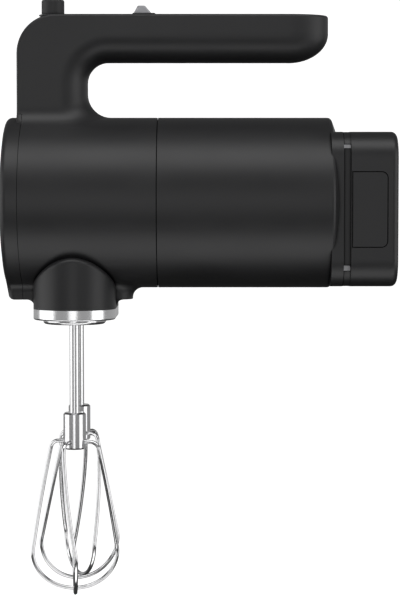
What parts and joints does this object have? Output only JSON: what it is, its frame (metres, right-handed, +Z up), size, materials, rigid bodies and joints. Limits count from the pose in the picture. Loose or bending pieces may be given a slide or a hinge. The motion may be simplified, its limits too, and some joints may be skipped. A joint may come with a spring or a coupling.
{
  "type": "hand mixer",
  "caption": "Cordless hand mixer: drum-shaped body with an open-ended handle, twin twisted wire beaters, eject button, speed slider and slide-off battery pack.",
  "frame": {"origin": "centre of the straight hand grip: halfway along the finger gap's grip in X, on the plane of symmetry, halfway up the grip", "axes": "+Z up with the beaters hanging down, +X from the nose towards the battery pack along the drum, +Y towards the right-hand side of a user who holds the grip from the rear and faces the nose"},
  "size_m": [0.2182, 0.0948, 0.329],
  "materials": {
    "housing_plastic": "satin black",
    "pack_plastic": "satin black",
    "button_plastic": "fine matt black",
    "trim_gloss": "gloss black",
    "knob_plastic": "light grey",
    "chrome_trim": "polished",
    "beater_steel": "bright stainless",
    "steel": "machined",
    "bronze": "sintered bronze",
    "terminal_metal": "plated",
    "inner_plastic": "grey nylon",
    "gear_plastic": "natural acetal",
    "ferrite": "sintered",
    "board": "solder mask",
    "cell_wrap": "shrink wrap"
  },
  "bodies": {
    "housing": {"housing_left": "housing_plastic", "housing_right": "housing_plastic", "nose_cap": "housing_plastic", "housing_screws": "steel", "beater_boss": "housing_plastic", "trim_ring": "chrome_trim", "socket_plate": "chrome_trim", "spindle_guide": "inner_plastic", "gearbox_frame": "inner_plastic", "worm_bearings": "steel", "spindle_bushes": "bronze", "gearbox_screws": "steel", "eject_guide": "inner_plastic", "eject_collar": "trim_gloss", "speed_bezel": "trim_gloss", "speed_sensor": "board", "motor_can": "steel", "motor_end_cap": "inner_plastic", "motor_bearings": "steel", "motor_magnets": "ferrite", "carbon_brushes": "ferrite", "motor_bulkhead": "inner_plastic", "motor_screws": "steel", "motor_sleeve": "housing_plastic", "control_board": "board", "battery_dock": "housing_plastic", "terminal_block": "inner_plastic", "terminal_blades": "terminal_metal", "dock_rails": "steel"},
    "rotor": {"motor_shaft": "steel", "worm": "steel", "rotor_core": "steel", "rotor_windings": "bronze", "commutator": "bronze", "cooling_fan": "inner_plastic"},
    "spindle_left": {"spindle_left": "steel", "worm_wheel_left": "gear_plastic"},
    "spindle_right": {"spindle_right": "steel", "worm_wheel_right": "gear_plastic"},
    "beater_left": {"beater_left_shaft": "beater_steel", "beater_left_collar": "beater_steel", "beater_left_wires": "beater_steel"},
    "beater_right": {"beater_right_shaft": "beater_steel", "beater_right_collar": "beater_steel", "beater_right_wires": "beater_steel"},
    "ejector": {"eject_button": "button_plastic", "eject_rod": "inner_plastic", "eject_plate": "inner_plastic", "eject_spring": "steel"},
    "speed_slider": {"slider_carriage": "button_plastic", "speed_knob": "knob_plastic"},
    "battery_pack": {"pack_base": "pack_plastic", "pack_shell": "pack_plastic", "battery_cells": "cell_wrap", "cell_holders": "inner_plastic", "pack_board": "board", "pack_contacts": "terminal_metal", "latch_springs": "steel"},
    "latch_left": {"latch_left": "pack_plastic"},
    "latch_right": {"latch_right": "pack_plastic"}
  },
  "joints": [
    {"name": "motor_spin", "type": "hinge", "parent": "housing", "child": "rotor", "pos_m": [-0.07355, 0, -0.09065], "axis": [1, 0, 0], "continuous": true},
    {"name": "spindle_left_spin", "type": "hinge", "parent": "housing", "child": "spindle_left", "pos_m": [-0.07355, -0.021, -0.09065], "axis": [0, 0, 1], "continuous": true},
    {"name": "spindle_right_spin", "type": "hinge", "parent": "housing", "child": "spindle_right", "pos_m": [-0.07355, 0.021, -0.09065], "axis": [0, 0, 1], "continuous": true},
    {"name": "beater_left_pull", "type": "slide", "parent": "spindle_left", "child": "beater_left", "axis": [0, 0, -1], "range_m": [0, 0.042]},
    {"name": "beater_right_pull", "type": "slide", "parent": "spindle_right", "child": "beater_right", "axis": [0, 0, -1], "range_m": [0, 0.042]},
    {"name": "eject_press", "type": "slide", "parent": "housing", "child": "ejector", "axis": [0, 0, -1], "range_m": [0, 0.006], "stiffness_N_per_m": 800, "springref_m": -0.004, "deforming": ["eject_spring"]},
    {"name": "speed_slide", "type": "slide", "parent": "housing", "child": "speed_slider", "axis": [1, 0, 0], "range_m": [0, 0.014]},
    {"name": "pack_slide", "type": "slide", "parent": "housing", "child": "battery_pack", "axis": [1, 0, 0], "range_m": [0, 0.03]},
    {"name": "latch_left_press", "type": "slide", "parent": "battery_pack", "child": "latch_left", "axis": [0, 1, 0], "range_m": [0, 0.0022], "stiffness_N_per_m": 600, "springref_m": -0.002},
    {"name": "latch_right_press", "type": "slide", "parent": "battery_pack", "child": "latch_right", "axis": [0, -1, 0], "range_m": [0, 0.0022], "stiffness_N_per_m": 600, "springref_m": -0.002}
  ],
  "couplings": [
    {"joint": "spindle_left_spin", "follows": "motor_spin", "ratio": 0.0625},
    {"joint": "spindle_right_spin", "follows": "motor_spin", "ratio": -0.0625}
  ]
}
